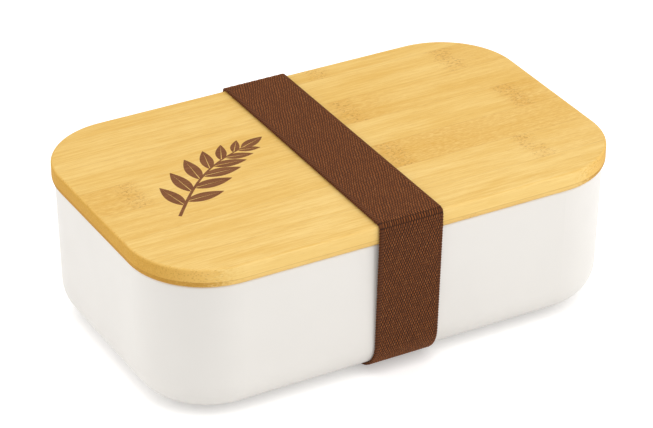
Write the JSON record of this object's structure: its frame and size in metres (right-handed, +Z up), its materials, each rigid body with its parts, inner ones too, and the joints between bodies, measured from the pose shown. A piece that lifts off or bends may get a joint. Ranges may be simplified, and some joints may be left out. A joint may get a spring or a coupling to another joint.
{
  "type": "bento lunch box",
  "caption": "Rounded rectangular plastic food container with a laminated bamboo plug lid, silicone seal, sliding divider and an elastic band round the middle.",
  "frame": {"origin": "on the surface that the box stands on, under the middle of the box's outline; that surface meets the underside of the elastic band, 1.5 mm below the container's foot", "axes": "+X along the length of the box, +Y across it, +Z up out of the lid"},
  "size_m": [0.187, 0.1174, 0.0636],
  "materials": {
    "container_plastic": "satin warm white polypropylene",
    "bamboo_top": "sanded and oiled bamboo, long fine grain with nodes",
    "bamboo_under": "sanded bamboo, a little darker",
    "seal_silicone": "translucent pale grey silicone",
    "elastic": "brown woven elastic webbing with dark edges",
    "thread": "dark brown polyester thread",
    "divider_plastic": "satin pale beige polypropylene"
  },
  "bodies": {
    "container": {"container": "container_plastic"},
    "lid": {"lid_strip_1": "bamboo_top", "lid_strip_2": "bamboo_top", "lid_strip_3": "bamboo_top", "lid_strip_4": "bamboo_top", "lid_strip_5": "bamboo_top", "lid_strip_6": "bamboo_top", "lid_strip_7": "bamboo_top", "lid_under_strip_1": "bamboo_under", "lid_under_strip_2": "bamboo_under", "lid_under_strip_3": "bamboo_under", "lid_under_strip_4": "bamboo_under", "lid_under_strip_5": "bamboo_under", "lid_under_strip_6": "bamboo_under", "lid_under_strip_7": "bamboo_under", "seal_ring": "seal_silicone"},
    "band_lower": {"band_lower": "elastic", "band_stitching": "thread"},
    "band_upper": {"band_upper": "elastic"},
    "divider": {"divider": "divider_plastic"}
  },
  "joints": [
    {"name": "lid_lift", "type": "slide", "parent": "container", "child": "lid", "axis": [0, 0, 1], "range_m": [0, 0.09]},
    {"name": "band_slide", "type": "slide", "parent": "container", "child": "band_lower", "axis": [1, 0, 0], "range_m": [-0.12, 0.12]},
    {"name": "band_stretch", "type": "slide", "parent": "band_lower", "child": "band_upper", "axis": [0, 0, 1], "range_m": [0, 0.09]},
    {"name": "divider_slide", "type": "slide", "parent": "container", "child": "divider", "axis": [1, 0, 0], "range_m": [-0.085, 0.025]}
  ],
  "couplings": [
    {"joint": "band_stretch", "follows": "lid_lift", "ratio": 1}
  ]
}
